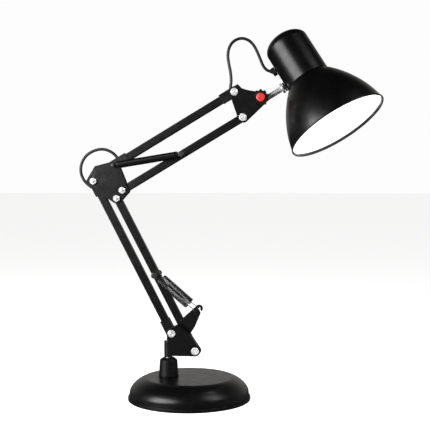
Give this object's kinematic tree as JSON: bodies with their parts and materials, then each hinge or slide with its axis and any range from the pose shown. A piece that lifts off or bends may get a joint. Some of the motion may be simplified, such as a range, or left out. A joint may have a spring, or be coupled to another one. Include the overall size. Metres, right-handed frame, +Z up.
{
  "type": "swing arm desk lamp",
  "caption": "Desk lamp on a round weighted base, with a swivelling pair of spring-balanced parallel-link arms and a bell shade that tilts and turns.",
  "frame": {"origin": "centre of the base's underside, on the desk", "axes": "+Z up; the arms lie in the XZ plane and reach towards +X; the knob stands on the -Y side"},
  "size_m": [0.4923, 0.2051, 0.5998],
  "materials": {
    "satin_black_paint": "satin",
    "black_plastic": "satin",
    "foam_pad": "matt",
    "cast_iron": "rough",
    "nylon": "satin",
    "zinc_steel": "plated",
    "black_steel": "oiled spring steel",
    "chrome": "polished",
    "red_plastic": "gloss",
    "black_rubber": "matt",
    "ceramic": "glazed",
    "bulb_glass": "frosted",
    "cable_sheath": "satin"
  },
  "bodies": {
    "base": {"base_pad": "foam_pad", "base_plate": "black_plastic", "base_weight": "cast_iron", "base_shell": "satin_black_paint", "post_socket": "black_plastic", "socket_bush": "nylon", "socket_nut": "zinc_steel"},
    "swivel": {"swivel_bracket": "satin_black_paint", "swivel_pin": "zinc_steel", "pin_clip": "zinc_steel", "lower_bolt_rear": "chrome", "lower_bolt_front": "chrome", "lower_nut_rear": "chrome", "lower_nut_front": "chrome"},
    "lower_rear": {"lower_rear_rod": "satin_black_paint", "lower_rear_sleeve_bottom": "black_plastic", "lower_rear_sleeve_top": "black_plastic"},
    "lower_front": {"lower_front_rod": "satin_black_paint", "lower_spring_pin": "black_steel", "lower_spring_front": "black_steel", "lower_spring_back": "black_steel"},
    "elbow": {"elbow_plate_front": "satin_black_paint", "elbow_plate_back": "satin_black_paint", "elbow_bolt_rear": "chrome", "elbow_bolt_front": "chrome", "elbow_bolt_low": "chrome", "elbow_nut_rear": "chrome", "elbow_nut_front": "chrome", "elbow_nut_low": "chrome", "elbow_spring_pin": "black_steel", "elbow_cord": "cable_sheath"},
    "upper_top": {"upper_top_rod": "satin_black_paint", "upper_top_sleeve_rear": "black_plastic", "upper_top_sleeve_front": "black_plastic"},
    "upper_bottom": {"upper_bottom_rod": "satin_black_paint", "upper_spring_pin": "black_steel", "upper_spring_front": "black_steel", "upper_spring_back": "black_steel", "upper_spring_sleeve_front": "black_plastic", "upper_spring_sleeve_back": "black_plastic"},
    "head_bracket": {"head_plate_front": "satin_black_paint", "head_plate_back": "satin_black_paint", "head_bolt_high": "chrome", "head_bolt_low": "chrome", "head_nut_high": "chrome", "head_nut_low": "chrome", "clamp_bolt": "chrome", "head_cord": "cable_sheath"},
    "knob": {"star_knob": "black_plastic", "knob_cap": "red_plastic"},
    "stem": {"stem": "chrome", "stem_collar": "chrome"},
    "shade": {"neck_housing": "satin_black_paint", "neck_washer": "black_rubber", "neck_nut": "zinc_steel", "cord_gland": "black_plastic", "reflector": "satin_black_paint", "lamp_holder": "ceramic", "bulb_cap": "zinc_steel", "bulb_glass": "bulb_glass"}
  },
  "joints": [
    {"name": "swivel", "type": "hinge", "parent": "base", "child": "swivel", "pos_m": [-0.0342, 0, 0.037], "axis": [0, 0, 1], "continuous": true},
    {"name": "lower_arm", "type": "hinge", "parent": "swivel", "child": "lower_rear", "pos_m": [-0.0285, 0, 0.1079], "axis": [0, 1, 0], "range_deg": [-9, 60]},
    {"name": "lower_link", "type": "hinge", "parent": "swivel", "child": "lower_front", "pos_m": [0.01033, 0, 0.07969], "axis": [0, 1, 0], "range_deg": [-9, 60], "deforming": ["lower_spring_front", "lower_spring_back"]},
    {"name": "elbow_level", "type": "hinge", "parent": "lower_rear", "child": "elbow", "pos_m": [-0.15736, 0, 0.35649], "axis": [0, 1, 0], "range_deg": [-60, 9], "deforming": ["elbow_cord"]},
    {"name": "upper_arm", "type": "hinge", "parent": "elbow", "child": "upper_top", "pos_m": [-0.12284, 0, 0.38232], "axis": [0, 1, 0], "range_deg": [-45, 55]},
    {"name": "upper_link", "type": "hinge", "parent": "elbow", "child": "upper_bottom", "pos_m": [-0.10906, 0, 0.34159], "axis": [0, 1, 0], "range_deg": [-45, 55], "deforming": ["upper_spring_front", "upper_spring_back", "upper_spring_sleeve_front", "upper_spring_sleeve_back"]},
    {"name": "head_level", "type": "hinge", "parent": "upper_top", "child": "head_bracket", "pos_m": [0.0742, 0, 0.49978], "axis": [0, 1, 0], "range_deg": [-55, 45]},
    {"name": "knob_turn", "type": "hinge", "parent": "head_bracket", "child": "knob", "pos_m": [0.1174, 0, 0.48918], "axis": [0, 1, 0], "continuous": true},
    {"name": "head_tilt", "type": "hinge", "parent": "head_bracket", "child": "stem", "pos_m": [0.1174, 0, 0.48918], "axis": [0, 1, 0], "range_deg": [-75, 50], "deforming": ["head_cord"]},
    {"name": "shade_turn", "type": "hinge", "parent": "stem", "child": "shade", "pos_m": [0.1562, 0, 0.508], "axis": [0.8517, 0, 0.524], "range_deg": [-90, 90]}
  ],
  "couplings": [
    {"joint": "lower_link", "follows": "lower_arm", "ratio": 1},
    {"joint": "elbow_level", "follows": "lower_arm", "ratio": -1},
    {"joint": "upper_link", "follows": "upper_arm", "ratio": 1},
    {"joint": "head_level", "follows": "upper_arm", "ratio": -1}
  ]
}
